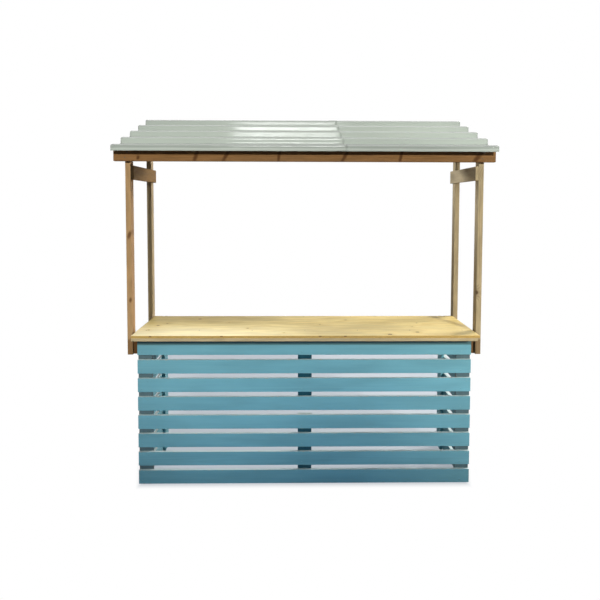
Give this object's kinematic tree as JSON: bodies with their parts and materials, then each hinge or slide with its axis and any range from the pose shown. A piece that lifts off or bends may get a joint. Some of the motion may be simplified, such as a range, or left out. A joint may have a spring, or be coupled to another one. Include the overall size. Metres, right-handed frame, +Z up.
{
  "type": "market stall",
  "caption": "Wooden market stall with a blue slatted counter base, a plywood counter, slim timber posts and a ribbed metal lean-to roof",
  "frame": {"origin": "on the ground under the middle of the stall's box", "axes": "+Z up, -Y is the front with the counter, +X is to the right seen from the front"},
  "size_m": [2.69, 0.9058, 2.7548],
  "materials": {
    "blue_paint": "thin matt blue paint brushed on sawn boards",
    "pine": "planed pine, weathered, unpainted",
    "dark_pine": "rough sawn pine, browned, unpainted",
    "plywood": "knotty softwood plywood, bare",
    "roof_sheet": "glossy light grey-green coating on thin ribbed steel sheet"
  },
  "bodies": {
    "root": {"front_slat_1": "blue_paint", "front_slat_2": "blue_paint", "front_slat_3": "blue_paint", "front_slat_4": "blue_paint", "front_slat_5": "blue_paint", "front_slat_6": "blue_paint", "front_slat_7": "blue_paint", "front_slat_8": "blue_paint", "left_front_batten": "blue_paint", "right_front_batten": "blue_paint", "upper_centre_batten": "blue_paint", "lower_centre_batten": "blue_paint", "left_side_panel": "blue_paint", "right_side_panel": "blue_paint", "front_rail": "blue_paint", "rear_rail": "blue_paint", "left_bearer": "pine", "right_bearer": "pine", "counter_lath": "pine", "left_front_post": "pine", "right_front_post": "pine", "left_rear_post": "pine", "right_rear_post": "pine", "left_rafter": "pine", "middle_rafter": "pine", "right_rafter": "pine", "left_tie": "dark_pine", "right_tie": "dark_pine", "front_beam": "dark_pine", "rear_beam": "dark_pine", "counter_top": "plywood", "left_roof_sheet": "roof_sheet", "right_roof_sheet": "roof_sheet"}
  },
  "joints": []
}
